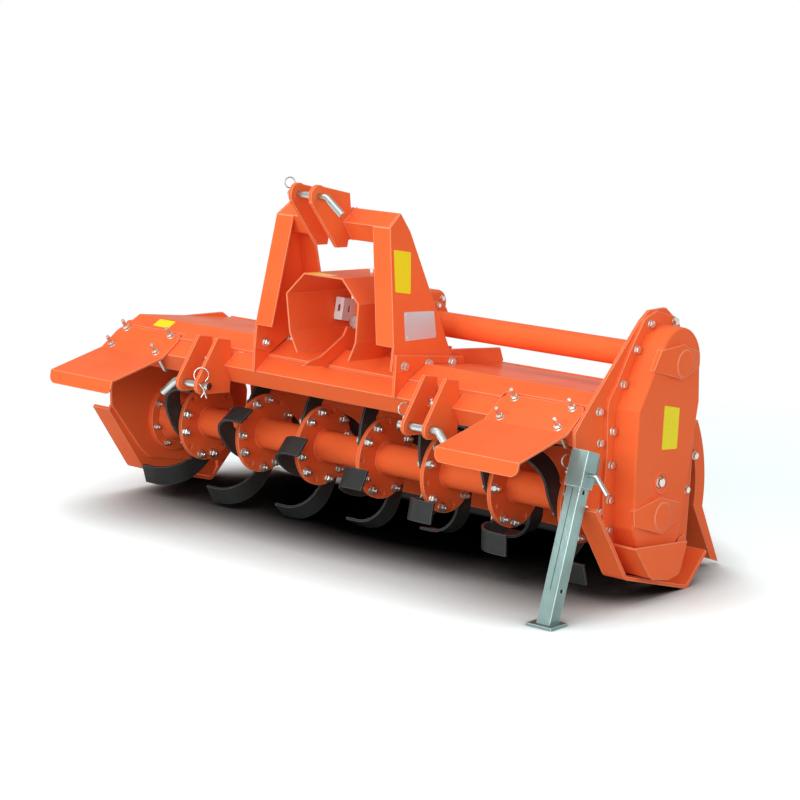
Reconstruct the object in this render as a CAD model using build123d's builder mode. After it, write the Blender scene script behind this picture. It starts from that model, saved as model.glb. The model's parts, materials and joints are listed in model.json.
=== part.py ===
from build123d import *

import os
from math import atan2, cos, pi, radians, sin, sqrt, tan

# A tractor-mounted rotavator, in millimetres. It is drawn level, as it works:
# X runs along the rotor towards the side gear case, Y to the rear and Z up,
# with the origin on the rotor's axis, under the gearbox. At the end every piece
# is tilted back and lifted to where it stands parked on its skids and stand.

# Side plates and front beam
plate_inner_x = 824.0
plate_t = 8.0
plate_corner_r = 10.0
beam_side = 60.0
beam_wall = 6.0
beam_y = -263.0
beam_z = 190.0
weld_gap = 0.3

# Rotor: a tube carrying flanges, with blades bolted round each flange
flange_count = 7
flange_pitch = 228.0
flange_r = 115.0
flange_t = 12.0
rotor_tube_r = 44.0
rotor_tube_end_x = 742.0
stub_r = 30.0
stub_end_x = 820.0
bolt_circle_r = 100.0
bolt_hole_r = 7.5
flange_holes = 12
first_root_deg = 5.5
root_step_deg = 15.0

# Blade: a flat bar curved in its flange's plane, then bent sideways
blade_t = 7.0
blade_w = 58.0
blade_lean_deg = 22.5
blade_bend_r = 74.0
blade_reach = 115.0
bend_trail = 52.0
bend_out = 140.5

# Bearing housings
housing_flange_r = 105.0
housing_flange_t = 14.0
housing_hub_r = 58.0
housing_inner_x = 762.0
running_gap = 0.05

# Deck, tail board and its hinge
sheet_t = 6.0
deck_front_y = -263.0
deck_front_z = 233.0
deck_bend_y = -201.0
deck_bend_z = 281.0
deck_rear_y = 160.0
deck_rear_z = 304.0
hinge_y = 184.0
hinge_z = 300.0
hinge_pin_r = 8.0
hinge_tube_r = 14.0
tail_r = 328.0
tail_side_gap = 9.0
tail_foot_y = 459.0
tail_foot_z = -132.0
tail_rib_h = 44.0

# Side gear case and drive tube
drive_y = -5.0
drive_z = 395.0
drive_tube_r = 34.0
drive_tube_wall = 6.0
drive_flange_r = 58.0
drive_flange_t = 14.0
case_flange_t = 9.0
case_depth = 74.0
case_draft_deg = 3.0
case_edge_r = 7.0
boss_r = 37.0
boss_rise = 11.0
boss_lip = 2.0
plug_r = 20.0
case_guard_gap = 11.0

# Gearbox and input shaft, both tipped forward about the drive tube's axis
gear_tilt_deg = 8.0
gearbox_half_x = 100.0
gearbox_front = 112.0
gearbox_rear = 66.0
gearbox_up = 87.0
gearbox_down = 70.0
gearbox_crown_r = 36.0
gearbox_edge_r = 12.0
nose_r = 52.0
nose_len = 18.0
input_r = 22.5
input_collar = 6.0
spline_r = 17.45
spline_groove = 4.2
input_reach = 213.0
hood_front = 351.0
hood_rear = 86.0
hood_t = 4.0

# Mast
leg_foot_x = 240.0
leg_head_x = 194.0
leg_bend_z = 318.0
leg_t = 6.0
bracket_t = 8.0
leg_flange_w = 60.0
head_y = -323.0
head_z = 626.0
ear_inner_x = 30.0
ear_t = 10.0
top_pin_y = -480.0
top_pin_z = 680.0
top_pin_r = 9.5

# Lower hitch
hitch_x = 404.0
hitch_y = -383.0
hitch_z = 130.0
hitch_pin_r = 11.0
cheek_gap = 60.0
cheek_t = 10.0

# Skids and stand
skid_w = 68.0
skid_t = 10.0
skid_bend_r = 20.0
skid_web_t = 8.0
stand_y = -294.5
stand_pin_z = 88.0
stand_lean_deg = 7.0
stand_leg = 40.0
stand_socket = 50.0
stand_wall = 3.0
stand_fit = 0.3
socket_up = 58.0
socket_down = 34.0
stand_leg_up = 52.0
stand_hole_runs = [0.0, 44.5, 293.0]
stand_hole_r = 6.3
stand_pin_r = 6.0
foot_t = 8.0
foot_half_x = 38.0
foot_front = 38.0
foot_rear = 30.0
park_deg = 10.0

guard_span = {"left": (-838.0, -590.0), "right": (562.0, 820.0)}
half_diag = beam_side / sqrt(2)
plate_outer_x = plate_inner_x + plate_t
case_face_x = plate_outer_x + case_depth
boss_face_x = case_face_x + boss_rise
guard_x = boss_face_x + case_guard_gap
stand_x = plate_outer_x + 1.0 + stand_socket / 2


def yz_prism(points, x0, x1):
    """A flat plate with its outline in the Y-Z plane, from x0 to x1."""
    with BuildPart() as prism:
        with BuildSketch(Plane.YZ.offset(x0)):
            with BuildLine():
                Polyline(*points, close=True)
            make_face()
        extrude(amount=x1 - x0)
    return prism.part


def diamond_tube(y, z, x0, x1, wall):
    """A square tube set on edge, running along X."""
    with BuildPart() as tube:
        with BuildSketch(Plane.YZ.offset(x0)):
            with Locations((y, z)):
                Rectangle(beam_side, beam_side, rotation=45)
                if wall:
                    bore = beam_side - 2 * wall
                    Rectangle(bore, bore, rotation=45, mode=Mode.SUBTRACT)
        extrude(amount=x1 - x0)
    return tube.part


def rod(points, radius, bend):
    """A round bar along a path of straight runs and arcs."""
    with BuildPart() as bar:
        with BuildLine():
            path = FilletPolyline(*points, radius=bend)
        with BuildSketch(Plane(origin=path @ 0, z_dir=path % 0)):
            Circle(radius)
        sweep()
    return bar.part


def deck_top(y):
    """Height of the deck's upper face."""
    if y < deck_bend_y:
        share = (y - deck_front_y) / (deck_bend_y - deck_front_y)
        return deck_front_z + share * (deck_bend_z - deck_front_z) + sheet_t * 1.25
    share = (y - deck_bend_y) / (deck_rear_y - deck_bend_y)
    return deck_bend_z + share * (deck_rear_z - deck_bend_z) + sheet_t


pieces = {}

# Front beam
pieces["front_beam"] = diamond_tube(beam_y, beam_z, -plate_inner_x, plate_inner_x, beam_wall)

# Side plates: (y, z) outlines, clockwise from the front tip
plate_low = [(287, -82), (262, -122), (215, -134), (-78, -134), (-124, -105), (-263, 14), (-276, 75)]
left_outline = [
    (-308, 184), (-265, 228), (-246, 246), (-244, 264), (150, 322), (206, 296), (246, 205),
] + plate_low
right_outline = [
    (-308, 184), (-266, 246), (-93, 482), (-60, 512), (15, 526),
    (70, 502), (112, 452), (140, 392), (180, 296), (246, 205),
] + plate_low

with BuildPart() as left_side_plate:
    with BuildSketch(Plane.YZ.offset(-plate_outer_x)) as outline:
        with BuildLine():
            Polyline(*left_outline, close=True)
        make_face()
        fillet(outline.vertices(), plate_corner_r)
    extrude(amount=plate_t)
pieces["left_side_plate"] = left_side_plate.part

with BuildPart() as right_side_plate:
    with BuildSketch(Plane.YZ.offset(plate_inner_x)) as outline:
        with BuildLine():
            Polyline(*right_outline, close=True)
        make_face()
        fillet(outline.vertices(), plate_corner_r)
    extrude(amount=plate_t)
pieces["right_side_plate"] = right_side_plate.part

# Deck: a bent sheet from the beam's crest to the hinge, with the hinge's fixed knuckles
knuckle_x = [-700.0, -260.0, 260.0, 700.0]
knuckle_w = 40.0
deck_section = [
    (deck_front_y, deck_front_z), (deck_bend_y, deck_bend_z), (deck_rear_y, deck_rear_z),
    (deck_rear_y, deck_rear_z + sheet_t), (deck_bend_y - 2, deck_bend_z + sheet_t),
    (deck_front_y - 2, deck_front_z + sheet_t * 1.25),
]
with BuildPart() as deck:
    with BuildSketch(Plane.YZ.offset(-plate_inner_x)):
        with BuildLine():
            Polyline(*deck_section, close=True)
        make_face()
    extrude(amount=2 * plate_inner_x)
    for x in knuckle_x:
        with BuildSketch(Plane.YZ.offset(x - knuckle_w / 2)):
            with Locations((hinge_y, hinge_z)):
                Circle(hinge_tube_r)
            with BuildLine():
                Polyline(
                    (deck_rear_y - 4, deck_rear_z + sheet_t), (hinge_y, hinge_z + hinge_tube_r),
                    (hinge_y, hinge_z), (deck_rear_y - 4, deck_rear_z), close=True,
                )
            make_face()
            with Locations((hinge_y, hinge_z)):
                Circle(hinge_pin_r + running_gap, mode=Mode.SUBTRACT)
        extrude(amount=knuckle_w)
    for x0, x1 in guard_span.values():
        with BuildSketch(Plane.XY.offset(deck_front_z - 10)):
            with Locations(((x0 + x1) / 2, deck_front_y)):
                Rectangle(x1 - x0 + 3, 32)
        extrude(amount=40, mode=Mode.SUBTRACT)
pieces["deck"] = deck.part

for side, sign in (("left", -1), ("right", 1)):
    rib_x = sign * 232.0
    rib = [(-76, deck_top(-76)), (157, deck_top(157)), (166, 318), (143, 352), (-76, 332)]
    pieces[f"{side}_deck_rib"] = yz_prism([(y, z + weld_gap) for y, z in rib], rib_x - 4, rib_x + 4)

# Rotor shaft with its flanges
flange_x = [(i - (flange_count - 1) / 2) * flange_pitch for i in range(flange_count)]
root_deg = [first_root_deg + root_step_deg * i for i in range(flange_count)]
with BuildPart() as rotor_shaft:
    with BuildSketch(Plane.YZ.offset(-rotor_tube_end_x)):
        Circle(rotor_tube_r)
    extrude(amount=2 * rotor_tube_end_x)
    with BuildSketch(Plane.YZ.offset(-stub_end_x)):
        Circle(stub_r)
    extrude(amount=2 * stub_end_x)
    for x in flange_x:
        with BuildSketch(Plane.YZ.offset(x - flange_t / 2)):
            Circle(flange_r)
            turn = root_deg[flange_x.index(x)] + 15
            with PolarLocations(bolt_circle_r, flange_holes, start_angle=turn):
                Circle(bolt_hole_r, mode=Mode.SUBTRACT)
        extrude(amount=flange_t)
pieces["rotor_shaft"] = rotor_shaft.part

# Blades. Each is drawn as if its root pointed up, trailing towards +Y
lean = radians(blade_lean_deg)
along = (cos(lean), sin(lean))
across = (-sin(lean), cos(lean))
bend_mid = (bend_trail, bend_out)


def on_bar(run, offset):
    """A point on the bent bar: run past the bend's start and offset across it."""
    return (
        bend_mid[0] + run * along[0] + offset * across[0],
        bend_mid[1] + run * along[1] + offset * across[1],
    )


def blade(hand):
    half = blade_t / 2
    inner, outer = blade_bend_r - half, blade_bend_r + half
    with BuildPart() as bar:
        with BuildSketch(Plane.YZ.offset(-half)) as outline:
            with BuildLine():
                lead = Line(on_bar(outer + 1, blade_w / 2), on_bar(0, blade_w / 2))
                back = ThreePointArc(lead @ 1, (8, 150), (-45, 100))
                root = Polyline(back @ 1, (-45, 82), (44, 82), (46, 98))
                trail = ThreePointArc(root @ 1, (54, 113), on_bar(0, -blade_w / 2))
                edge = Line(trail @ 1, on_bar(outer + 1, -blade_w / 2))
                Line(edge @ 1, lead @ 0)
            make_face()
        extrude(amount=blade_reach + 10)
        bend_plane = Plane(
            origin=(0, bend_mid[0], bend_mid[1]),
            x_dir=(0, along[0], along[1]),
            z_dir=(0, across[0], across[1]),
        )
        # local x runs along the bar and local y = z_dir x x_dir
        flip = 1 if bend_plane.y_dir.X > 0 else -1
        with BuildSketch(bend_plane.offset(-200)):
            with BuildLine():
                low = Line((-220, -flip * half), (0, -flip * half))
                turn_out = ThreePointArc(
                    low @ 1,
                    (outer * sin(pi / 4), flip * (blade_bend_r - outer * cos(pi / 4))),
                    (outer, flip * blade_bend_r),
                )
                wing = Polyline(
                    turn_out @ 1, (outer, flip * blade_reach), (inner, flip * blade_reach),
                    (inner, flip * blade_bend_r),
                )
                turn_in = ThreePointArc(
                    wing @ 1,
                    (inner * sin(pi / 4), flip * (blade_bend_r - inner * cos(pi / 4))),
                    (0, flip * half),
                )
                Polyline(turn_in @ 1, (-220, flip * half), low @ 0)
            make_face()
        extrude(amount=400, mode=Mode.INTERSECT)
        for at in (-15, 15):
            spot = (bolt_circle_r * sin(radians(at)), bolt_circle_r * cos(radians(at)))
            with BuildSketch(Plane.YZ.offset(-half)):
                with Locations(spot):
                    Circle(bolt_hole_r)
            extrude(amount=blade_t, mode=Mode.SUBTRACT)
    return bar.part if hand > 0 else bar.part.mirror(Plane.YZ)


right_blade = blade(1)
left_blade = blade(-1)
# Which way each flange's four blades bend, going round from the first root
hands = ["RLRL", "RLRL", "RLRL", "RLRL", "RLRL", "RLRL", "LRLR"]
for i, x in enumerate(flange_x):
    seat = x - flange_t / 2 - blade_t / 2 - 0.02
    group = []
    for k, hand in enumerate(hands[i]):
        angle = root_deg[i] % 90 + 90 * k
        shape = right_blade if hand == "R" else left_blade
        group.append(Location((seat, 0, 0), (angle - 90, 0, 0)) * shape)
    pieces[f"blades_{i + 1}"] = Part() + group

# Bearing housings, one on each side plate
for side, sign in (("left", -1), ("right", 1)):
    with BuildPart() as housing:
        with BuildSketch(Plane.XY):
            with BuildLine():
                Polyline(
                    (sign * plate_inner_x, stub_r + running_gap),
                    (sign * plate_inner_x, housing_flange_r),
                    (sign * (plate_inner_x - housing_flange_t), housing_flange_r),
                    (sign * (plate_inner_x - housing_flange_t - 2), housing_hub_r + 18),
                    (sign * housing_inner_x, housing_hub_r),
                    (sign * housing_inner_x, stub_r + running_gap),
                    close=True,
                )
            make_face()
        revolve(axis=Axis.X)
    pieces[f"{side}_bearing_housing"] = housing.part

# Side gear case: a bolted flange, a domed cover and a ridged boss over each shaft
case_outline = [
    (-67, 500), (-87, 487), (-130, 407), (-169, 315), (-191, 276), (-193, 251), (-166, 137), (-153, 23),
    (-132, -54), (-118, -66), (-66, -108), (100, -108), (146, -70), (150, 300), (125, 400), (80, 487),
    (50, 507), (-36, 514),
]
dome_r = 100.0
dome_centre = (drive_y + 13, drive_z - 10)


def on_dome(angle_deg):
    """A point on the cover's round top."""
    angle = radians(angle_deg)
    return (dome_centre[0] + dome_r * cos(angle), dome_centre[1] + dome_r * sin(angle))


ridge_section = [
    (case_face_x - 12, -130), (case_face_x - 1, -130), (boss_face_x, -0.8 * boss_r),
    (boss_face_x, 0.8 * boss_r), (case_face_x - 1, 112), (case_face_x - 12, 112),
]
upper_ridge = [(-112, 362), (-92, 417), (-5, 441), (26, 433), (81, 427), (90, 384), (11, 350)]
lower_ridge = [(-96, -34), (-107, 6), (-7, 46), (110, 33), (112, -11), (25, -49)]
bosses = [(drive_y + 17, drive_z - 4, upper_ridge), (15, -3, lower_ridge)]
plug_at = (-3, 83)

with BuildPart() as dome:
    with BuildSketch(Plane.YZ.offset(plate_outer_x + case_flange_t)) as outline:
        with BuildLine():
            lower = FilletPolyline(
                on_dome(160), (-152, 258), (-134, 139), (-111, 34), (-99, -44), (-62, -92), (98, -92),
                (130, -60), (130, 300), on_dome(0), radius=14,
            )
            ThreePointArc(lower @ 1, on_dome(80), lower @ 0)
        make_face()
    extrude(amount=case_depth - case_flange_t, taper=case_draft_deg)
    fillet(dome.faces().sort_by(Axis.X)[-1].edges(), case_edge_r)
    with BuildSketch(Plane.YZ.offset(case_face_x - 4)):
        with Locations(plug_at):
            Circle(plug_r)
    extrude(amount=4, mode=Mode.SUBTRACT)

ridges = []
for y, z, points in bosses:
    with BuildPart() as ridge:
        with BuildSketch(Plane.YZ.offset(case_face_x - 12)):
            with BuildLine():
                Polyline(*points, close=True)
            make_face()
        extrude(amount=boss_face_x - case_face_x + 12)
        with BuildSketch(Plane.XY.offset(z - 200)):
            with Locations((0, y)):
                with BuildLine():
                    Polyline(*ridge_section, close=True)
                make_face()
        extrude(amount=400, mode=Mode.INTERSECT)
        with BuildSketch(Plane.YZ.offset(boss_face_x - 1)):
            with Locations((y, z)):
                Circle(boss_r)
        extrude(amount=1 + boss_lip, taper=30)
    ridges.append(ridge.part)

with BuildPart() as gear_case:
    with BuildSketch(Plane.YZ.offset(plate_outer_x)):
        with BuildLine():
            Polyline(*case_outline, close=True)
        make_face()
    extrude(amount=case_flange_t)
    add(dome.part)
    add(ridges)
pieces["gear_case"] = gear_case.part

guard_front = [(-108, -84), (-22, -156)]
guard_face = [(126, -63), (116, -129), (107, -150), (63, -165), (-14, -165)]
with BuildPart() as case_guard:
    with BuildSketch(Plane.YZ.offset(guard_x)):
        with BuildLine():
            Polyline(guard_front[0], *guard_face, guard_front[1], close=True)
        make_face()
    extrude(amount=sheet_t)
    with BuildSketch(Plane.YZ.offset(plate_outer_x)):
        with BuildLine():
            Polyline(*guard_front, (-26, -160.5), (-112, -88.5), close=True)
        make_face()
    extrude(amount=guard_x + sheet_t - plate_outer_x)
pieces["case_guard"] = case_guard.part

# Drive tube from the gearbox to the side case
with BuildPart() as drive_tube:
    with BuildSketch(Plane.YZ.offset(gearbox_half_x)):
        with Locations((drive_y, drive_z)):
            Circle(drive_flange_r)
    extrude(amount=drive_flange_t)
    with BuildSketch(Plane.YZ.offset(gearbox_half_x)):
        with Locations((drive_y, drive_z)):
            Circle(drive_tube_r)
    extrude(amount=plate_inner_x - gearbox_half_x)
    with BuildSketch(Plane.YZ.offset(gearbox_half_x)):
        with Locations((drive_y, drive_z)):
            Circle(drive_tube_r - drive_tube_wall)
    extrude(amount=plate_inner_x - gearbox_half_x, mode=Mode.SUBTRACT)
pieces["drive_tube"] = drive_tube.part

# Gearbox, closed inside, on its foot
gear_tilt = radians(gear_tilt_deg)


def geared(run, rise):
    """(y, z) of a point run behind and rise above the drive axis, square to the input."""
    return (
        drive_y + run * cos(gear_tilt) - rise * sin(gear_tilt),
        drive_z + run * sin(gear_tilt) + rise * cos(gear_tilt),
    )


def on_input(reach):
    """A plane across the input shaft, reach ahead of the drive axis, facing forward."""
    y, z = geared(-reach, 0)
    return Plane(origin=(0, y, z), x_dir=(1, 0, 0), z_dir=(0, -cos(gear_tilt), -sin(gear_tilt)))


foot_y0, foot_y1 = -98.0, 76.0
foot_outline = [
    (foot_y0, deck_top(foot_y0) + weld_gap), (foot_y1, deck_top(foot_y1) + weld_gap), (foot_y1, 336),
    (foot_y0, 320),
]
rest_x = -30.0
rest_t = 6.0
rest_outline = [
    (deck_front_y - 4, deck_front_z + 1), (-369, 232), (-343, 247), (-305, 260), (-276, 281), (-222, 323),
    (-211, 349), (-112, 363), (-112, deck_top(-112) + 2), (deck_bend_y - 2, deck_top(deck_bend_y) + 1),
    (deck_front_y - 4, deck_top(deck_front_y) + 2),
]
with BuildPart() as gearbox:
    with BuildSketch(Plane.YZ.offset(-gearbox_half_x)) as side:
        with BuildLine():
            Polyline(
                geared(-gearbox_front, -gearbox_down), geared(gearbox_rear, -gearbox_down),
                geared(gearbox_rear, gearbox_up), geared(-gearbox_front, gearbox_up), close=True,
            )
        make_face()
        fillet(side.vertices().sort_by(Axis.Y)[-2:], gearbox_crown_r)
    extrude(amount=2 * gearbox_half_x)
    fillet(gearbox.faces().filter_by(Axis.X).edges(), gearbox_edge_r)
    with BuildSketch(Plane.YZ.offset(-gearbox_half_x - 20)):
        with BuildLine():
            Polyline(*foot_outline, close=True)
        make_face()
    extrude(amount=2 * gearbox_half_x + 40)
    with BuildSketch(on_input(gearbox_front)):
        Circle(nose_r)
    extrude(amount=nose_len)
    with BuildSketch(on_input(gearbox_front - 40)):
        Circle(input_r + running_gap)
    extrude(amount=nose_len + 40, mode=Mode.SUBTRACT)
    with BuildSketch(Plane.YZ.offset(-gearbox_half_x)):
        with Locations((drive_y, drive_z)):
            Circle(drive_flange_r)
    extrude(amount=-drive_flange_t)
    with BuildSketch(Plane.YZ.offset(rest_x)):
        with BuildLine():
            Polyline(*rest_outline, close=True)
        make_face()
    extrude(amount=rest_t)
pieces["gearbox"] = gearbox.part

# Splined input shaft
with BuildPart() as input_shaft:
    with BuildSketch(on_input(gearbox_front - 36)):
        Circle(input_r)
    extrude(amount=36 + nose_len + input_collar)
    with BuildSketch(on_input(gearbox_front)):
        Circle(spline_r)
        with PolarLocations(spline_r, 6):
            Rectangle(6.0, spline_groove, mode=Mode.SUBTRACT)
    extrude(amount=input_reach - gearbox_front)
pieces["input_shaft"] = input_shaft.part

# Input shaft guard: a folded hood, square to the shaft, open at the front and below
hood_line = [(-78, -84), (-108, -33), (-127, 70), (-67, 131), (67, 131), (127, 70), (125, -33), (104, -84)]
with BuildPart() as pto_guard:
    with BuildSketch(on_input(hood_front)):
        with BuildLine():
            Polyline(*hood_line)
        trace(line_width=hood_t)
    extrude(amount=hood_rear - hood_front)
    with BuildSketch(Plane.YZ.offset(-200)):
        with BuildLine():
            Polyline(
                (deck_front_y - 40, 100), (deck_front_y - 40, deck_front_z - 25),
                (deck_front_y - 2, deck_top(deck_front_y) + 1),
                (deck_bend_y - 2, deck_top(deck_bend_y) + 1), (0, deck_top(0) + 1), (0, 100), close=True,
            )
        make_face()
        with BuildLine():
            Polyline(
                (-129, 323), (-226, 275), (-226, 200), (0, 200), (0, 345), (-112, 345), close=True,
            )
        make_face()
    extrude(amount=400, mode=Mode.SUBTRACT)
pieces["pto_guard"] = pto_guard.part

# Mast: two channel legs, brackets, the cross tube and the ears
leg_lean = atan2(leg_foot_x - leg_head_x, head_z - leg_bend_z)
leg_top_z = head_z + half_diag + 10
leg_top_x = leg_foot_x - (leg_top_z - leg_bend_z) * tan(leg_lean)
strip_top_z = head_z - 10
leg_outline = [
    (-330, 256), (-336, leg_bend_z), (head_y - half_diag, head_z), (head_y, head_z + half_diag),
    (head_y + half_diag, head_z), (-86, leg_bend_z), (-84, 312), (-200, 297), (-262, 250),
]
front_strip = [
    (-336, leg_bend_z), (head_y - half_diag, head_z - 0.6),
    (head_y - half_diag + leg_t, head_z - leg_t - 0.6), (-330, leg_bend_z),
]
rear_strip = [
    (head_y + half_diag + 4, strip_top_z), (-86, leg_bend_z), (-93, leg_bend_z),
    (head_y + half_diag - 3, strip_top_z),
]


def lean_plane(sign):
    """The inner face of a mast leg's web, with its normal towards +X."""
    return Plane(
        origin=(sign * leg_foot_x, 0, leg_bend_z),
        x_dir=(0, 1, 0),
        z_dir=(cos(leg_lean), 0, sign * sin(leg_lean)),
    )


def leg_band(sign, section, outlines):
    """A band drawn in the X-Z plane, cut to each of the (y, z) outlines."""
    with BuildPart() as band:
        with BuildSketch(Plane.YZ):
            for points in outlines:
                with BuildLine():
                    Polyline(*points, close=True)
                make_face()
        extrude(amount=sign * 2 * leg_foot_x)
        with BuildSketch(Plane.XZ.offset(-100)):
            with BuildLine():
                Polyline(*[(sign * x, z) for x, z in section], close=True)
            make_face()
        extrude(amount=500, mode=Mode.INTERSECT)
    return band.part


def leg(sign):
    web = [
        (leg_foot_x, 200), (leg_foot_x + leg_t, 200), (leg_foot_x + leg_t, leg_bend_z),
        (leg_top_x + leg_t, leg_top_z), (leg_top_x, leg_top_z), (leg_foot_x, leg_bend_z),
    ]
    depth = leg_flange_w - leg_t
    flange = [
        (leg_foot_x - depth, leg_bend_z), (leg_foot_x + 1, leg_bend_z),
        (leg_top_x + 1, leg_top_z), (leg_top_x - depth, leg_top_z),
    ]
    with BuildPart() as post:
        add(leg_band(sign, web, [leg_outline]))
        add(leg_band(sign, flange, [front_strip, rear_strip]))
    return post.part


for side, sign in (("left", -1), ("right", 1)):
    pieces[f"{side}_mast_leg"] = leg(sign)

with BuildPart() as head_tube:
    add(diamond_tube(head_y, head_z, -leg_foot_x, leg_foot_x, beam_wall))
    split(bisect_by=lean_plane(1).offset(-weld_gap), keep=Keep.BOTTOM)
    split(bisect_by=lean_plane(-1).offset(weld_gap), keep=Keep.TOP)
pieces["mast_head_tube"] = head_tube.part

bracket_outline = [
    (beam_y - half_diag - 8, beam_z - 2), (-330, 300), (-44, 318), (-32, deck_top(-32) + weld_gap),
    (deck_bend_y - 3, deck_top(deck_bend_y) + 1), (deck_front_y - 3, deck_top(deck_front_y) + 1),
    (beam_y - 3, beam_z + half_diag + weld_gap), (beam_y - half_diag - weld_gap, beam_z + weld_gap),
]
for side, sign in (("left", -1), ("right", 1)):
    inner = sign * (leg_foot_x + leg_t + 0.2)
    outer = inner + sign * bracket_t
    pieces[f"{side}_mast_bracket"] = yz_prism(bracket_outline, min(inner, outer), max(inner, outer))

ear_outline = [
    (head_y - 35, 704), (head_y - 20, 660), (head_y - 12, 600), (head_y - 14, 562), (-378, 556),
    (top_pin_y - 24, top_pin_z - 20),
]
for side, sign in (("left", -1), ("right", 1)):
    x0 = ear_inner_x if sign > 0 else -ear_inner_x - ear_t
    with BuildPart() as ear:
        with BuildSketch(Plane.YZ.offset(x0)):
            with BuildLine():
                Polyline(*ear_outline, (top_pin_y, top_pin_z + 28), close=True)
            make_face()
            with Locations((top_pin_y, top_pin_z)):
                Circle(30)
            with Locations((head_y, head_z)):
                cut = beam_side + 2 * weld_gap
                Rectangle(cut, cut, rotation=45, mode=Mode.SUBTRACT)
            with Locations((top_pin_y, top_pin_z)):
                Circle(top_pin_r + 0.4, mode=Mode.SUBTRACT)
        extrude(amount=ear_t)
    pieces[f"{side}_top_ear"] = ear.part

ear_outer_x = ear_inner_x + ear_t
pieces["top_link_pin"] = rod(
    [
        (-ear_outer_x - 22, top_pin_y, top_pin_z), (ear_outer_x + 26, top_pin_y, top_pin_z),
        (ear_outer_x + 90, top_pin_y, top_pin_z - 42),
    ],
    top_pin_r, 30,
)

# Lower hitch: two cheeks and a saddle clamped on the beam, with a pin through them
cheek_outline = [
    (hitch_y - 24, hitch_z - 10), (hitch_y - 4, hitch_z - 26), (beam_y - 7, hitch_z - 13),
    (beam_y - 23, beam_z + 36), (beam_y - 36, beam_z + 74), (beam_y - 87, beam_z + 73),
    (hitch_y - 24, hitch_z + 10),
]
for side, sign in (("left", -1), ("right", 1)):
    middle = sign * hitch_x
    with BuildPart() as clevis:
        for x0 in (middle - cheek_gap / 2 - cheek_t, middle + cheek_gap / 2):
            with BuildSketch(Plane.YZ.offset(x0)):
                with BuildLine():
                    Polyline(*cheek_outline, close=True)
                make_face()
                with Locations((hitch_y, hitch_z)):
                    Circle(26)
                with Locations((beam_y, beam_z)):
                    cut = beam_side + 2 * weld_gap
                    Rectangle(cut, cut, rotation=45, mode=Mode.SUBTRACT)
                with Locations((hitch_y, hitch_z)):
                    Circle(hitch_pin_r + 0.4, mode=Mode.SUBTRACT)
            extrude(amount=cheek_t)
        saddle = [
            (beam_y - half_diag - 11, beam_z - 10), (beam_y - 9, beam_z + half_diag - 9 + weld_gap * 2),
            (beam_y - 15, beam_z + half_diag - 3), (beam_y - half_diag - 17, beam_z - 4),
        ]
        with BuildSketch(Plane.YZ.offset(middle - cheek_gap / 2)):
            with BuildLine():
                Polyline(*saddle, close=True)
            make_face()
        extrude(amount=cheek_gap)
    pieces[f"{side}_hitch_clevis"] = clevis.part
    reach_in = middle - sign * (cheek_gap / 2 + cheek_t + 24)
    reach_out = middle + sign * (cheek_gap / 2 + cheek_t + 22)
    pieces[f"{side}_hitch_pin"] = rod(
        [
            (reach_in, hitch_y, hitch_z), (reach_out, hitch_y, hitch_z),
            (reach_out + sign * 44, hitch_y, hitch_z - 40),
        ],
        hitch_pin_r, 26,
    )

# Bent guard plates clamped on the beam's upper front face
guard_t = 5.0
guard_corner_r = 22.0
guard_low_z = 64.0
guard_line = [
    (beam_y + 11.8, beam_z + half_diag + 12.2), (beam_y - half_diag - 16, beam_z - 15.4), (-504, 98),
    (-505, guard_low_z),
]
guard_back = [(-510, guard_low_z), (-509, 101)] + [(y - 3, z + guard_t) for y, z in reversed(guard_line[:2])]
guard_top_z = guard_line[0][1] + guard_t
for side, (x0, x1) in guard_span.items():
    with BuildPart() as guard:
        with BuildSketch(Plane.YZ.offset(x0)):
            with BuildLine():
                Polyline(*guard_line, *guard_back, close=True)
            make_face()
        extrude(amount=x1 - x0)
        with BuildSketch(Plane.XZ):
            with Locations(((x0 + x1) / 2, (guard_low_z + guard_top_z) / 2)):
                RectangleRounded(x1 - x0, guard_top_z - guard_low_z, guard_corner_r)
        extrude(amount=600, mode=Mode.INTERSECT)
    pieces[f"{side}_guard_plate"] = guard.part

# Skids: a bent strip with a web at each end, bolted over the side plate
skid_path = [(-262, 2), (-85, -167), (215, -191.5), (285, -95)]
skid_webs = [
    [(-262, 2), (-250, 25), (-114, -98), (-74, -132), (-50, -152), (-50, -165), (-85, -163)],
    [(283, -98), (262, -62), (236, -72), (230, -122), (236, -160)],
]
for side, sign in (("left", -1), ("right", 1)):
    x0 = plate_outer_x if sign > 0 else -plate_outer_x - skid_w
    web_x = plate_outer_x if sign > 0 else -plate_outer_x - skid_web_t
    with BuildPart() as skid:
        with BuildSketch(Plane.YZ.offset(x0)):
            with BuildLine():
                FilletPolyline(*skid_path, radius=skid_bend_r)
            trace(line_width=skid_t)
        extrude(amount=skid_w)
        for points in skid_webs:
            with BuildSketch(Plane.YZ.offset(web_x)):
                with BuildLine():
                    Polyline(*points, close=True)
                make_face()
            extrude(amount=skid_web_t)
    pieces[f"{side}_skid"] = skid.part

# Tail board: a sheet curved round the rotor, with a rib at each end and hinge tubes
tail_half = plate_inner_x - tail_side_gap
start = radians(48)
knee = radians(2)


def tail_section(offset_out, first, foot):
    """Section outline from the inner radius to offset_out beyond it, ending at foot."""
    r0, r1 = tail_r, tail_r + offset_out
    mid = (first + knee) / 2
    with BuildLine() as line:
        a = ThreePointArc(
            (r0 * cos(first), r0 * sin(first)), (r0 * cos(mid), r0 * sin(mid)),
            (r0 * cos(knee), r0 * sin(knee)),
        )
        b = Polyline(a @ 1, (tail_foot_y, tail_foot_z), foot, (r1 * cos(knee), r1 * sin(knee)))
        c = ThreePointArc(b @ 1, (r1 * cos(mid), r1 * sin(mid)), (r1 * cos(first), r1 * sin(first)))
        Line(c @ 1, a @ 0)
    return line


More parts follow.
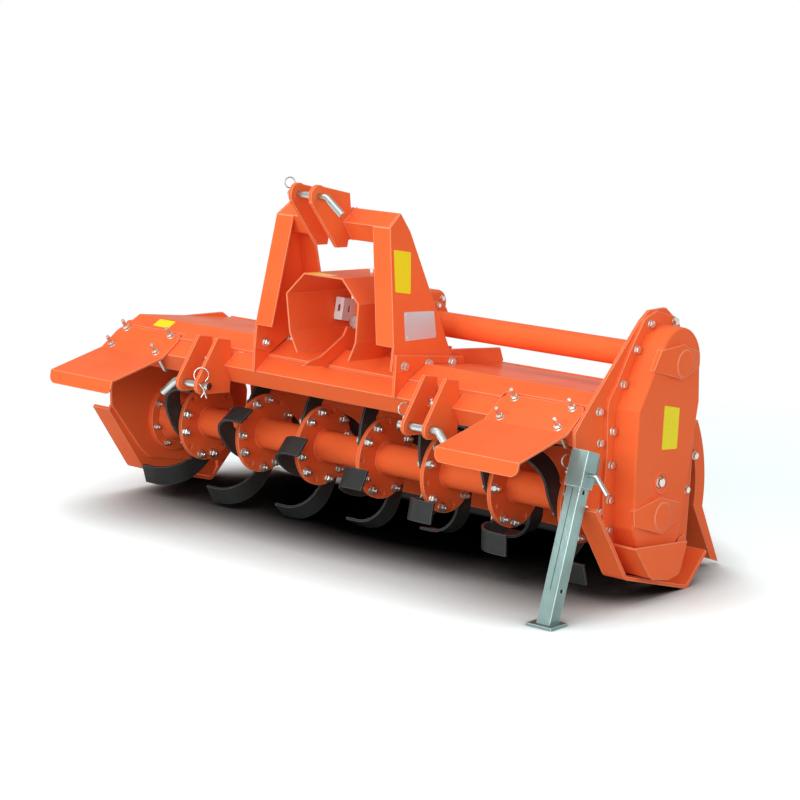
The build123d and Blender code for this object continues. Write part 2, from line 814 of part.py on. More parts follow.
sheet_foot = (tail_foot_y + sheet_t * 0.75, tail_foot_z + sheet_t * 0.5)
rib_foot = (tail_foot_y + tail_rib_h - 6, tail_foot_z - 6)
with BuildPart() as tail_board:
    with BuildSketch(Plane.YZ.offset(-tail_half)):
        with BuildLine():
            add(tail_section(sheet_t, start, sheet_foot).line)
        make_face()
    extrude(amount=2 * tail_half)
    for x0 in (-tail_half, tail_half - 8):
        with BuildSketch(Plane.YZ.offset(x0)):
            with BuildLine():
                add(tail_section(tail_rib_h, radians(41), rib_foot).line)
            make_face()
        extrude(amount=8)
    tubes = [(-tail_half, -724), (-676, -284), (-236, 236), (284, 676), (724, tail_half)]
    for x0, x1 in tubes:
        with BuildSketch(Plane.YZ.offset(x0)):
            with Locations((hinge_y, hinge_z)):
                Circle(hinge_tube_r)
            with BuildLine():
                Polyline(
                    (hinge_y, hinge_z - 12), (tail_r * cos(start), tail_r * sin(start)),
                    ((tail_r + sheet_t) * cos(start), (tail_r + sheet_t) * sin(start)),
                    (hinge_y + 8, hinge_z - 2), close=True,
                )
            make_face()
            with Locations((hinge_y, hinge_z)):
                Circle(hinge_pin_r + running_gap, mode=Mode.SUBTRACT)
        extrude(amount=x1 - x0)
pieces["tail_board"] = tail_board.part

with BuildPart() as hinge_rod:
    with BuildSketch(Plane.YZ.offset(-tail_half - 4)):
        with Locations((hinge_y, hinge_z)):
            Circle(hinge_pin_r)
    extrude(amount=2 * tail_half + 8)
pieces["tail_hinge_rod"] = hinge_rod.part

# Stand: a leaning socket on the right side plate, its leg with a foot, and the pin
park = radians(park_deg)
stand_lean = radians(stand_lean_deg)
socket_half = stand_socket / 2
leg_half = stand_leg / 2
parked_skid = Location((0, 0, 0), (-park_deg, 0, 0)) * pieces["right_skid"]
floor_drop = -parked_skid.bounding_box().min.Z


def floor_z(y):
    """Height of the floor, in the level frame, when the machine is parked."""
    return (y * sin(park) - floor_drop) / cos(park)


def stand_at(run):
    """(y, z) on the stand's axis, run below the pin."""
    return (stand_y - run * sin(stand_lean), stand_pin_z - run * cos(stand_lean))


def across_stand(run):
    """A plane square to the stand's axis, run below the pin, facing up."""
    y, z = stand_at(run)
    return Plane(origin=(stand_x, y, z), x_dir=(1, 0, 0), z_dir=(0, sin(stand_lean), cos(stand_lean)))


web_low, web_high = stand_at(28), stand_at(-40)
with BuildPart() as stand_bracket:
    with BuildSketch(across_stand(socket_down)):
        Rectangle(stand_socket, stand_socket)
        Rectangle(stand_leg + 2 * stand_fit, stand_leg + 2 * stand_fit, mode=Mode.SUBTRACT)
    extrude(amount=socket_up + socket_down)
    with BuildSketch(Plane.YZ.offset(plate_outer_x)):
        with BuildLine():
            Polyline(
                (web_high[0] + socket_half - 2, web_high[1]), (-190, web_high[1]), (-190, web_low[1]),
                (web_low[0] + socket_half - 2, web_low[1]), close=True,
            )
        make_face()
    extrude(amount=8)
    with Locations(Plane.YZ.offset(stand_x)):
        with Locations((stand_y, stand_pin_z)):
            Cylinder(stand_hole_r, 160, mode=Mode.SUBTRACT)
pieces["stand_bracket"] = stand_bracket.part

foot_y = stand_y - (stand_pin_z + floor_drop / cos(park)) * tan(stand_lean)
foot_y /= 1 - tan(stand_lean) * tan(park)
foot_run = (stand_y - foot_y) / sin(stand_lean)
foot_line = [(y, floor_z(y)) for y in (foot_y - foot_front, foot_y + foot_rear)]
below = [(y, z - 200) for y, z in reversed(foot_line)]
with BuildPart() as stand_leg_part:
    with BuildSketch(across_stand(foot_run + 20)):
        Rectangle(stand_leg, stand_leg)
        Rectangle(stand_leg - 2 * stand_wall, stand_leg - 2 * stand_wall, mode=Mode.SUBTRACT)
    extrude(amount=foot_run + 20 + stand_leg_up)
    with BuildSketch(Plane.YZ.offset(stand_x - foot_half_x)):
        with BuildLine():
            Polyline(*foot_line, *below, close=True)
        make_face()
    extrude(amount=2 * foot_half_x, mode=Mode.SUBTRACT)
    with BuildSketch(Plane.YZ.offset(stand_x - foot_half_x)):
        with BuildLine():
            Polyline(*foot_line, *[(y, z + foot_t) for y, z in reversed(foot_line)], close=True)
        make_face()
    extrude(amount=2 * foot_half_x)
    with Locations(Plane.YZ.offset(stand_x)):
        for run in stand_hole_runs:
            with Locations(stand_at(run)):
                Cylinder(stand_hole_r, 160, mode=Mode.SUBTRACT)
pieces["stand_leg"] = stand_leg_part.part

# The pin is left out inside the leg, so that the leg can slide
inner_end = stand_x - leg_half - 0.8
outer_end = stand_x + leg_half + 0.8
tail_end = stand_x - socket_half - 18
handle = rod(
    [
        (outer_end, stand_y, stand_pin_z), (stand_x + socket_half + 22, stand_y, stand_pin_z),
        (stand_x + socket_half + 62, stand_y, stand_pin_z - 40),
    ],
    stand_pin_r, 18,
)
with BuildPart() as pin_tail:
    with BuildSketch(Plane.YZ.offset(tail_end)):
        with Locations((stand_y, stand_pin_z)):
            Circle(stand_pin_r)
    extrude(amount=inner_end - tail_end)
pieces["stand_pin"] = Part() + [handle, pin_tail.part]

os.makedirs("parts", exist_ok=True)
parked = {name: Location((0, 0, 0), (-park_deg, 0, 0)) * piece for name, piece in pieces.items()}
boxes = [piece.bounding_box() for piece in parked.values()]
low = [min(tuple(box.min)[axis] for box in boxes) for axis in range(3)]
high = [max(tuple(box.max)[axis] for box in boxes) for axis in range(3)]
home = Location((-(low[0] + high[0]) / 2, -(low[1] + high[1]) / 2, -low[2]))
for name, piece in parked.items():
    placed = home * piece
    placed.label = name
    export_step(placed, f"parts/{name}.step")
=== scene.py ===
import bmesh
import bpy
import json
from math import atan2, cos, pi, radians, sin, sqrt
from mathutils import Matrix, Vector


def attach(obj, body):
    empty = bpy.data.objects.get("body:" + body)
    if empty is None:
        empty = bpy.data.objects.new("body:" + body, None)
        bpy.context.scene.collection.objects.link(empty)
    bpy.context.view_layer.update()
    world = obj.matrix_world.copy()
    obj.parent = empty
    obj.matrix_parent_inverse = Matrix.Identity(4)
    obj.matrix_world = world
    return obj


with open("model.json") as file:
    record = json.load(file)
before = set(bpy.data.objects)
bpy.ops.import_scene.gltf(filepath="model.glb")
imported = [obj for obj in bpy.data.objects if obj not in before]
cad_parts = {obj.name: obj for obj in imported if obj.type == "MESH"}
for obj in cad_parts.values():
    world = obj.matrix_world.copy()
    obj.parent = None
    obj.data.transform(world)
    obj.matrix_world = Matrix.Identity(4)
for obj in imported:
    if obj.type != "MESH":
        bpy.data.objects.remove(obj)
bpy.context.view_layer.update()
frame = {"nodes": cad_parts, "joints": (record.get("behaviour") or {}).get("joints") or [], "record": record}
nodes = frame["nodes"]
scene = bpy.context.scene
scene.view_settings.view_transform = "Standard"
print("frame loaded:", len(nodes), "nodes")

# the machine standing level: X along the rotor, Y back, Z up, origin on the rotor's axis, in mm
level = {"perMetre": 1000, "hingeBehind": 184, "hingeAbove": 300}  # where the tail board's hinge then is
joints = {joint["name"]: joint for joint in frame["joints"]}
rotorCentre = Vector(joints["rotor_spin"]["pos_m"])
hinge = Vector(joints["tail_board_hinge"]["pos_m"]) - rotorCentre
parkTilt = atan2(hinge.z, hinge.y) - atan2(level["hingeAbove"], level["hingeBehind"])
levelToRow = (Matrix.Translation(rotorCentre) @ Matrix.Rotation(parkTilt, 4, "X")
              @ Matrix.Scale(1 / level["perMetre"], 4))


# a point of the level machine, in metres where it stands parked
def place(x, y, z):
    return levelToRow @ Vector((x, y, z))


# a direction of the level machine, as it points when parked
def turned(x, y, z):
    return (levelToRow.to_3x3() @ Vector((x, y, z))).normalized()


camera = {"fromRotor": (4.145, -4.939, 1.667), "azimuth": 39.61, "elevation": 13.11, "tip": 3.3,
          "lens": 107.37, "sensor": 36, "clipEnd": 400}
az, el = radians(camera["azimuth"]), radians(camera["elevation"])
look = Vector((-sin(az) * cos(el), cos(az) * cos(el), -sin(el)))
right = Vector((cos(az), sin(az), 0))
tip = Matrix.Rotation(radians(camera["tip"]), 3, "X")
look, right = tip @ look, tip @ right
up = right.cross(look)
eye = rotorCentre + tip @ Vector(camera["fromRotor"])
camData = bpy.data.cameras.new("viewCamera")
camData.sensor_width = camera["sensor"]
camData.lens = camera["lens"]
camData.clip_end = camera["clipEnd"]
cam = bpy.data.objects.new("viewCamera", camData)
cam.matrix_world = Matrix.Translation(eye) @ Matrix((right, up, -look)).transposed().to_4x4()
scene.collection.objects.link(cam)
scene.camera = cam


# small helpers for shader and geometry trees
def feed(tree, socket, value):
    if isinstance(value, bpy.types.NodeSocket):
        tree.links.new(value, socket)
    else:
        socket.default_value = value


# a node with its settings, and its inputs fed by name or number
def step(tree, kind, inputs=None, **settings):
    node = tree.nodes.new(kind)
    for key, value in settings.items():
        setattr(node, key, value)
    for key, value in (inputs or {}).items():
        feed(tree, node.inputs[key], value)
    return node


# the emptied node tree of a material or a world
def emptied(owner):
    owner.use_nodes = True
    owner.node_tree.nodes.clear()
    return owner.node_tree


def newGroup(name, kind, inputs, outputs):
    group = bpy.data.node_groups.new(name, kind)
    for label, socketKind, value in inputs:
        socket = group.interface.new_socket(label, in_out="INPUT", socket_type=socketKind)
        if value is not None:
            socket.default_value = value
    for label, socketKind in outputs:
        group.interface.new_socket(label, in_out="OUTPUT", socket_type=socketKind)
    return group, group.nodes.new("NodeGroupInput").outputs, group.nodes.new("NodeGroupOutput").inputs


def maths(tree, operation, a, b=None, c=None):
    inputs = {i: value for i, value in enumerate((a, b, c)) if value is not None}
    return step(tree, "ShaderNodeMath", inputs, operation=operation).outputs[0]


def vectorMaths(tree, operation, a, b=(0, 0, 0)):
    return step(tree, "ShaderNodeVectorMath", {0: a, 1: b}, operation=operation).outputs


def noise(tree, coords, scale, detail=2.0, rough=0.5):
    return step(tree, "ShaderNodeTexNoise", {
        "Vector": coords, "Scale": scale, "Detail": detail, "Roughness": rough}).outputs["Fac"]


def ramp(tree, value, low, high, toLow=0.0, toHigh=1.0):
    return step(tree, "ShaderNodeMapRange", {
        "Value": value, "From Min": low, "From Max": high, "To Min": toLow, "To Max": toHigh}).outputs["Result"]


def bump(tree, height, strength, distance, normal):
    return step(tree, "ShaderNodeBump", {
        "Height": height, "Strength": strength, "Distance": distance, "Normal": normal}).outputs["Normal"]


def mixColour(tree, fac, a, b):
    node = step(tree, "ShaderNodeMix", data_type="RGBA")
    for number, value in ((0, fac), (6, a), (7, b)):
        feed(tree, node.inputs[number], value)
    return node.outputs[2]


def join(tree, *shapes):
    both = step(tree, "GeometryNodeJoinGeometry")
    for shape in shapes:
        tree.links.new(shape, both.inputs[0])
    return both.outputs[0]


# metal surface: rounded edges, a fine ripple, patchy shine, and masks for edges and corners; the corner mask
# comes from ambient occlusion and carries painted shade
skin = {
    "samples": 6, "openReach": 0.03, "rippleReach": 0.002, "grainReach": 0.0004,
    "patchScale": 6.0, "patchDetail": 4.0, "speckScale": 160.0, "speckDetail": 3.0, "speckRough": 0.6,
    "edgeBend": (0.995, 0.9), "edgeOpen": (0.55, 0.8), "cornerOpen": (0.75, 0.25), "patchSpan": (0.35, 0.7),
    "patchShine": (0.3, 0.7, -1.0, 1.0), "speckShine": (0.35, 0.75, -0.02, 0.05), "wearSpan": 0.12,
}
surface, given, gives = newGroup(
    "metalSurface", "ShaderNodeTree",
    [("Edge Radius", "NodeSocketFloat", 0.002), ("Ripple Scale", "NodeSocketFloat", 90.0),
     ("Ripple Height", "NodeSocketFloat", 0.1), ("Grain Scale", "NodeSocketFloat", 900.0),
     ("Grain Height", "NodeSocketFloat", 0.05), ("Shine", "NodeSocketFloat", 0.3),
     ("Shine Spread", "NodeSocketFloat", 0.08)],
    [("Roughness", "NodeSocketFloat"), ("Normal", "NodeSocketVector"), ("Patch", "NodeSocketFloat"),
     ("Edge", "NodeSocketFloat"), ("Corner", "NodeSocketFloat"), ("Speck", "NodeSocketFloat")],
)
coords = step(surface, "ShaderNodeTexCoord").outputs["Object"]
rounded = step(surface, "ShaderNodeBevel", {"Radius": given["Edge Radius"]}, samples=skin["samples"])
rounded = rounded.outputs["Normal"]
plain = step(surface, "ShaderNodeNewGeometry").outputs["Normal"]
bend = vectorMaths(surface, "DOT_PRODUCT", rounded, plain)["Value"]
nearOpen = step(surface, "ShaderNodeAmbientOcclusion", {"Distance": skin["openReach"]},
                samples=skin["samples"], only_local=True).outputs["AO"]
# the edge mask: rounded convex edges, used for a painted highlight and for wear
edge = ramp(surface, bend, *skin["edgeBend"])
edge = maths(surface, "MULTIPLY", edge, ramp(surface, nearOpen, *skin["edgeOpen"]))
ripple = noise(surface, coords, given["Ripple Scale"])
grain = noise(surface, coords, given["Grain Scale"])
wavy = bump(surface, ripple, given["Ripple Height"], skin["rippleReach"], rounded)
grainy = bump(surface, grain, given["Grain Height"], skin["grainReach"], wavy)
patch = noise(surface, coords, skin["patchScale"], skin["patchDetail"])
speck = noise(surface, coords, skin["speckScale"], skin["speckDetail"], skin["speckRough"])
shine = ramp(surface, patch, *skin["patchShine"])
shine = maths(surface, "MULTIPLY_ADD", shine, given["Shine Spread"], given["Shine"])
shine = maths(surface, "ADD", shine, ramp(surface, speck, *skin["speckShine"]))
# the corner mask: high where ambient occlusion finds nearby surfaces, used for painted shade in corners
corner = ramp(surface, nearOpen, *skin["cornerOpen"])
for label, value in (("Roughness", shine), ("Normal", grainy), ("Patch", patch), ("Edge", edge),
                     ("Corner", corner), ("Speck", speck)):
    feed(surface, gives[label], value)


# a painted or bare metal: its colour, darker in random patches, with painted shade in corners and a painted
# highlight along the edges, and worn along the edges
def metalMaterial(name, look):
    mat = bpy.data.materials.new(name)
    tree = emptied(mat)
    bsdf = step(tree, "ShaderNodeBsdfPrincipled")
    feed(tree, step(tree, "ShaderNodeOutputMaterial").inputs["Surface"], bsdf.outputs["BSDF"])
    finish = step(tree, "ShaderNodeGroup", node_tree=surface)
    for label, key in (("Edge Radius", "edgeRadius"), ("Ripple Scale", "rippleScale"),
                       ("Ripple Height", "ripple"), ("Grain Scale", "grainScale"), ("Grain Height", "grain"),
                       ("Shine", "shine"), ("Shine Spread", "shineSpread")):
        finish.inputs[label].default_value = look[key]
    seen = finish.outputs
    patchy = ramp(tree, seen["Patch"], *skin["patchSpan"], 0.0, look["patchy"])
    # painted shade: the colour turns towards the darker colour in corners
    cornerShaded = ramp(tree, seen["Corner"], 0.0, 1.0, 0.0, look["cornerShade"])
    # painted highlight: edges turn towards the paler edge colour
    highlighted = ramp(tree, seen["Edge"], 0.0, 1.0, 0.0, look["edgeHighlight"])
    speckled = ramp(tree, seen["Speck"], look["wearFrom"], look["wearFrom"] + skin["wearSpan"])
    worn = maths(tree, "MULTIPLY", maths(tree, "MULTIPLY", seen["Edge"], speckled), look["wear"])
    # the darker colour serves both the random patches and the painted corner shade
    colour = mixColour(tree, patchy, look["colour"], look["patchAndShade"])
    colour = mixColour(tree, cornerShaded, colour, look["patchAndShade"])
    colour = mixColour(tree, highlighted, colour, look["edge"])
    feed(tree, bsdf.inputs["Base Color"], mixColour(tree, worn, colour, look["bare"]))
    feed(tree, bsdf.inputs["Roughness"], seen["Roughness"])
    feed(tree, bsdf.inputs["Normal"], seen["Normal"])
    for label, key, usual in (("Coat Weight", "coat", 0.0), ("Coat Roughness", "coatRoughness", 0.08),
                              ("Metallic", "metal", 0.0), ("Specular IOR Level", "specular", 0.5)):
        bsdf.inputs[label].default_value = look.get(key, usual)
    return mat


orangePaint = metalMaterial("orangePaint", {
    "colour": (0.95, 0.165, 0.046, 1), "patchAndShade": (0.8, 0.08, 0.014, 1), "edge": (1.0, 0.6, 0.38, 1),
    "bare": (0.5, 0.3, 0.2, 1), "edgeRadius": 0.0035, "rippleScale": 45.0, "ripple": 0.05,
    "grainScale": 700.0, "grain": 0.06, "shine": 0.38, "shineSpread": 0.06, "patchy": 0.2, "cornerShade": 0.35,
    "edgeHighlight": 0.75, "wearFrom": 0.68, "wear": 0.4, "specular": 0.03, "coat": 0.08,
})
bladeBlack = metalMaterial("bladeBlack", {
    "colour": (0.032, 0.039, 0.039, 1), "patchAndShade": (0.02, 0.018, 0.016, 1), "edge": (0.26, 0.3, 0.3, 1),
    "bare": (0.2, 0.23, 0.23, 1), "edgeRadius": 0.0016, "rippleScale": 60.0, "ripple": 0.35,
    "grainScale": 500.0, "grain": 0.3, "shine": 0.36, "shineSpread": 0.12, "patchy": 0.6, "cornerShade": 0.3,
    "edgeHighlight": 0.8, "wearFrom": 0.5, "wear": 0.8, "specular": 0.26,
})
zincPlate = metalMaterial("zincPlate", {
    "colour": (0.27, 0.4, 0.38, 1), "patchAndShade": (0.15, 0.21, 0.21, 1), "edge": (0.85, 1.0, 0.98, 1),
    "bare": (0.25, 0.25, 0.24, 1), "edgeRadius": 0.003, "rippleScale": 60.0, "ripple": 0.3,
    "grainScale": 350.0, "grain": 0.3, "shine": 0.38, "shineSpread": 0.14, "patchy": 0.7, "cornerShade": 0.5,
    "edgeHighlight": 0.85, "wearFrom": 0.6, "wear": 0.4, "metal": 0.75,
})
brightSteel = metalMaterial("brightSteel", {
    "colour": (0.6, 0.66, 0.64, 1), "patchAndShade": (0.36, 0.4, 0.36, 1), "edge": (0.75, 0.78, 0.78, 1),
    "bare": (0.3, 0.29, 0.27, 1), "edgeRadius": 0.0015, "rippleScale": 80.0, "ripple": 0.12,
    "grainScale": 500.0, "grain": 0.2, "shine": 0.26, "shineSpread": 0.1, "patchy": 0.5, "cornerShade": 0.4,
    "edgeHighlight": 0.4, "wearFrom": 0.6, "wear": 0.3, "metal": 1.0,
})
boltZinc = metalMaterial("boltZinc", {
    "colour": (0.75, 0.78, 0.74, 1), "patchAndShade": (0.5, 0.47, 0.38, 1), "edge": (0.85, 0.88, 0.86, 1),
    "bare": (0.35, 0.32, 0.27, 1), "edgeRadius": 0.0008, "rippleScale": 120.0, "ripple": 0.15,
    "grainScale": 600.0, "grain": 0.1, "shine": 0.3, "shineSpread": 0.06, "patchy": 0.4, "cornerShade": 0.5,
    "edgeHighlight": 0.5, "wearFrom": 0.62, "wear": 0.3, "metal": 0.92,
})
labelYellow = metalMaterial("labelYellow", {
    "colour": (0.93, 0.8, 0.004, 1), "patchAndShade": (0.85, 0.68, 0.002, 1), "edge": (0.98, 0.9, 0.1, 1),
    "bare": (0.7, 0.68, 0.6, 1), "edgeRadius": 0.0004, "rippleScale": 30.0, "ripple": 0.04,
    "grainScale": 900.0, "grain": 0.04, "shine": 0.28, "shineSpread": 0.05, "patchy": 0.25, "cornerShade": 0.2,
    "edgeHighlight": 0.2, "wearFrom": 0.62, "wear": 0.5, "specular": 0.2,
})
whiteZinc = metalMaterial("whiteZinc", {
    "colour": (0.74, 0.89, 0.9, 1), "patchAndShade": (0.6, 0.72, 0.73, 1), "edge": (0.85, 0.9, 0.9, 1),
    "bare": (0.4, 0.42, 0.42, 1), "edgeRadius": 0.0008, "rippleScale": 90.0, "ripple": 0.2,
    "grainScale": 500.0, "grain": 0.2, "shine": 0.34, "shineSpread": 0.08, "patchy": 0.5, "cornerShade": 0.3,
    "edgeHighlight": 0.5, "wearFrom": 0.62, "wear": 0.3, "metal": 0.1,
})
plateSilver = metalMaterial("plateSilver", {
    "colour": (0.72, 0.7, 0.74, 1), "patchAndShade": (0.58, 0.57, 0.6, 1), "edge": (0.85, 0.85, 0.85, 1),
    "bare": (0.4, 0.4, 0.38, 1), "edgeRadius": 0.0004, "rippleScale": 200.0, "ripple": 0.1,
    "grainScale": 900.0, "grain": 0.25, "shine": 0.36, "shineSpread": 0.1, "patchy": 0.4, "cornerShade": 0.3,
    "edgeHighlight": 0.3, "wearFrom": 0.6, "wear": 0.3, "metal": 0.4,
})

finishes = {"orange_paint": orangePaint, "blade_black": bladeBlack, "zinc": zincPlate,
            "bright_steel": brightSteel}
for part in frame["record"]["subparts"]:
    node = nodes[part["node"]]
    node.data.materials.clear()
    node.data.materials.append(finishes[part["material_slot"]])
print("materials set")


# a finished mesh becomes a piece with its finish, and rides on a body
def keep(name, mesh, material, body):
    mesh.name = name
    mesh.materials.clear()
    mesh.materials.append(material)
    piece = bpy.data.objects.new(name, mesh)
    scene.collection.objects.link(piece)
    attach(piece, body)


# the plain mesh of an object with its modifiers, or of a curve; the object itself goes
def baked(obj):
    bpy.context.view_layer.update()
    mesh = bpy.data.meshes.new_from_object(obj.evaluated_get(bpy.context.evaluated_depsgraph_get()))
    bpy.data.objects.remove(obj)
    return mesh


# run a geometry tree on a base of points or lines, and keep the result as a plain mesh
def grow(name, base, tree, sizes, material, body):
    scene.collection.objects.link(base)
    modifier = base.modifiers.new(name, "NODES")
    modifier.node_group = tree
    wanted = {"Finish": material, **sizes}
    for item in tree.interface.items_tree:
        if item.in_out == "INPUT" and item.name in wanted:
            modifier[item.identifier] = wanted[item.name]
    keep(name, baked(base), material, body)


# the end of each tree: real shapes with their material
def giveReal(tree, gives, geometry, finish):
    real = step(tree, "GeometryNodeRealizeInstances", {"Geometry": geometry}).outputs[0]
    real = step(tree, "GeometryNodeSetMaterial", {"Geometry": real, "Material": finish}).outputs[0]
    feed(tree, gives["Geometry"], real)


# a closed upright prism on the origin with a chamfered top
def stack(tree, sides, radius, height, chamfer, narrow, merge=0.00005):
    base = step(tree, "GeometryNodeMeshCircle", {
        "Vertices": sides, "Radius": radius}, fill_type="NGON").outputs[0]
    straight = maths(tree, "SUBTRACT", height, chamfer)
    body = step(tree, "GeometryNodeExtrudeMesh", {
        "Mesh": base, "Offset": (0, 0, 1), "Offset Scale": straight, "Individual": False})
    crown = step(tree, "GeometryNodeExtrudeMesh", {
        "Mesh": body.outputs["Mesh"], "Selection": body.outputs["Top"], "Offset": (0, 0, 1),
        "Offset Scale": chamfer, "Individual": False})
    topped = step(tree, "GeometryNodeScaleElements", {
        "Geometry": crown.outputs["Mesh"], "Selection": crown.outputs["Top"], "Scale": narrow}).outputs[0]
    under = step(tree, "GeometryNodeFlipFaces", {"Mesh": base}).outputs[0]
    both = join(tree, topped, under)
    return step(tree, "GeometryNodeMergeByDistance", {"Geometry": both, "Distance": merge}).outputs[0]


def pointValue(tree, name, kind="FLOAT"):
    return step(tree, "GeometryNodeInputNamedAttribute", {"Name": name}, data_type=kind).outputs[0]


# bolts and nuts: one washer, six-sided head and, where a point asks for it, the stud's end
boltShape = {
    "washerSides": 20, "washerChamfer": 0.0006, "washerNarrow": 0.95, "headChamfer": 0.0016, "headNarrow": 0.86,
    "studSides": 10, "studChamfer": 0.08, "studNarrow": 0.78, "leastStud": 0.001, "mostTwist": 1.05,
}
bolts, given, gives = newGroup(
    "boltField", "GeometryNodeTree",
    [("Geometry", "NodeSocketGeometry", None), ("Across Flats", "NodeSocketFloat", 0.019),
     ("Head Height", "NodeSocketFloat", 0.0085), ("Washer Radius", "NodeSocketFloat", 0.0122),
     ("Washer Thickness", "NodeSocketFloat", 0.0025), ("Thread Radius", "NodeSocketFloat", 0.006),
     ("Seed", "NodeSocketInt", 3), ("Finish", "NodeSocketMaterial", None)],
    [("Geometry", "NodeSocketGeometry")],
)
headRadius = maths(bolts, "DIVIDE", given["Across Flats"], sqrt(3))
washer = stack(bolts, boltShape["washerSides"], given["Washer Radius"], given["Washer Thickness"],
               boltShape["washerChamfer"], boltShape["washerNarrow"])
head = stack(bolts, 6, headRadius, given["Head Height"], boltShape["headChamfer"], boltShape["headNarrow"])
lift = step(bolts, "ShaderNodeCombineXYZ", {"Z": given["Washer Thickness"]}).outputs[0]
head = step(bolts, "GeometryNodeTransform", {"Geometry": head, "Translation": lift}).outputs[0]
capped = join(bolts, washer, head)
axis = pointValue(bolts, "axis", "FLOAT_VECTOR")
size = pointValue(bolts, "size")
stud = pointValue(bolts, "stud")
aimed = step(bolts, "FunctionNodeAlignRotationToVector", {"Vector": axis}, axis="Z").outputs[0]
twist = step(bolts, "FunctionNodeRandomValue", {2: 0.0, 3: boltShape["mostTwist"], "Seed": given["Seed"]},
             data_type="FLOAT").outputs[1]
spin = step(bolts, "FunctionNodeAxisAngleToRotation", {"Axis": (0, 0, 1), "Angle": twist}).outputs[0]
aimed = step(bolts, "FunctionNodeRotateRotation", {0: aimed, 1: spin}, rotation_space="LOCAL").outputs[0]
heads = step(bolts, "GeometryNodeInstanceOnPoints", {
    "Points": given["Geometry"], "Instance": capped, "Rotation": aimed, "Scale": size}).outputs[0]
rodShape = stack(bolts, boltShape["studSides"], given["Thread Radius"], 1.0, boltShape["studChamfer"],
                 boltShape["studNarrow"])
rodScale = step(bolts, "ShaderNodeCombineXYZ", {"X": size, "Y": size, "Z": stud}).outputs[0]
hasStud = step(bolts, "FunctionNodeCompare", {0: stud, 1: boltShape["leastStud"]},
               data_type="FLOAT", operation="GREATER_THAN").outputs[0]
rods = step(bolts, "GeometryNodeInstanceOnPoints", {
    "Points": given["Geometry"], "Selection": hasStud, "Instance": rodShape, "Rotation": aimed,
    "Scale": rodScale}).outputs[0]
giveReal(bolts, gives, join(bolts, heads, rods), given["Finish"])


# rows are x, y, z, axis, size and stud in the level machine's mm, with size 1 for a 12 mm bolt
def boltPoints(name, table):
    mesh = bpy.data.meshes.new(name)
    mesh.from_pydata([place(*row[:3]) for row in table], [], [])
    for label, kind in (("axis", "FLOAT_VECTOR"), ("size", "FLOAT"), ("stud", "FLOAT")):
        mesh.attributes.new(label, kind, "POINT")
    mesh.attributes["axis"].data.foreach_set("vector", [v for row in table for v in turned(*row[3])])
    mesh.attributes["size"].data.foreach_set("value", [row[4] for row in table])
    mesh.attributes["stud"].data.foreach_set("value", [row[5] / level["perMetre"] for row in table])
    return bpy.data.objects.new(name, mesh)


# weld beads: short overlapping lumps along a line
beadShape = {"least": 0.8, "most": 1.15, "roll": (6, 6, 6)}
welds, given, gives = newGroup(
    "weldBead", "GeometryNodeTree",
    [("Geometry", "NodeSocketGeometry", None), ("Bead Radius", "NodeSocketFloat", 0.003),
     ("Pitch", "NodeSocketFloat", 0.0045), ("Seed", "NodeSocketInt", 5),
     ("Finish", "NodeSocketMaterial", None)],
    [("Geometry", "NodeSocketGeometry")],
)
line = step(welds, "GeometryNodeMeshToCurve", {"Mesh": given["Geometry"]}).outputs[0]
line = step(welds, "GeometryNodeResampleCurve", {
    "Curve": line, "Length": given["Pitch"]}, mode="LENGTH").outputs[0]
lump = step(welds, "GeometryNodeMeshIcoSphere", {"Radius": given["Bead Radius"], "Subdivisions": 1}).outputs[0]
lump = step(welds, "GeometryNodeSetShadeSmooth", {"Geometry": lump}).outputs[0]
swell = step(welds, "FunctionNodeRandomValue", {
    2: beadShape["least"], 3: beadShape["most"], "Seed": given["Seed"]}, data_type="FLOAT").outputs[1]
roll = step(welds, "FunctionNodeRandomValue", {
    0: (0, 0, 0), 1: beadShape["roll"], "Seed": given["Seed"]}, data_type="FLOAT_VECTOR").outputs[0]
lumps = step(welds, "GeometryNodeInstanceOnPoints", {
    "Points": line, "Instance": lump, "Rotation": roll, "Scale": swell}).outputs[0]
giveReal(welds, gives, lumps, given["Finish"])

# bent wire and rod: a round bar along a line of corners, bent at each
wires, given, gives = newGroup(
    "bentRod", "GeometryNodeTree",
    [("Geometry", "NodeSocketGeometry", None), ("Rod Radius", "NodeSocketFloat", 0.006),
     ("Bend Radius", "NodeSocketFloat", 0.012), ("Sides", "NodeSocketInt", 12),
     ("Finish", "NodeSocketMaterial", None)],
    [("Geometry", "NodeSocketGeometry")],
)
line = step(wires, "GeometryNodeMeshToCurve", {"Mesh": given["Geometry"]}).outputs[0]
line = step(wires, "GeometryNodeFilletCurve", {
    "Curve": line, "Count": 6, "Radius": given["Bend Radius"], "Limit Radius": True}, mode="POLY").outputs[0]
ring = step(wires, "GeometryNodeCurvePrimitiveCircle", {
    "Resolution": given["Sides"], "Radius": given["Rod Radius"]}, mode="RADIUS").outputs[0]
bar = step(wires, "GeometryNodeCurveToMesh", {
    "Curve": line, "Profile Curve": ring, "Fill Caps": True}).outputs[0]
bar = step(wires, "GeometryNodeSetShadeSmooth", {"Geometry": bar}).outputs[0]
giveReal(wires, gives, bar, given["Finish"])


# a mesh of edges: each path is (closed, points) in the level machine's mm
def lines(name, paths):
    spots, edges = [], []
    for closed, points in paths:
        first = len(spots)
        spots += [place(*point) for point in points]
        edges += [(first + i, first + i + 1) for i in range(len(points) - 1)]
        if closed:
            edges.append((first + len(points) - 1, first))
    mesh = bpy.data.meshes.new(name)
    mesh.from_pydata(spots, edges, [])
    return bpy.data.objects.new(name, mesh)


# a ring round a line along X, or swung about the upright by some degrees
def circle(x, y, z, radius, count, swing=0.0):
    turn = radians(swing)
    angles = [2 * pi * i / count for i in range(count)]
    return [(x + radius * cos(a) * sin(turn), y + radius * cos(a) * cos(turn), z + radius * sin(a))
            for a in angles]


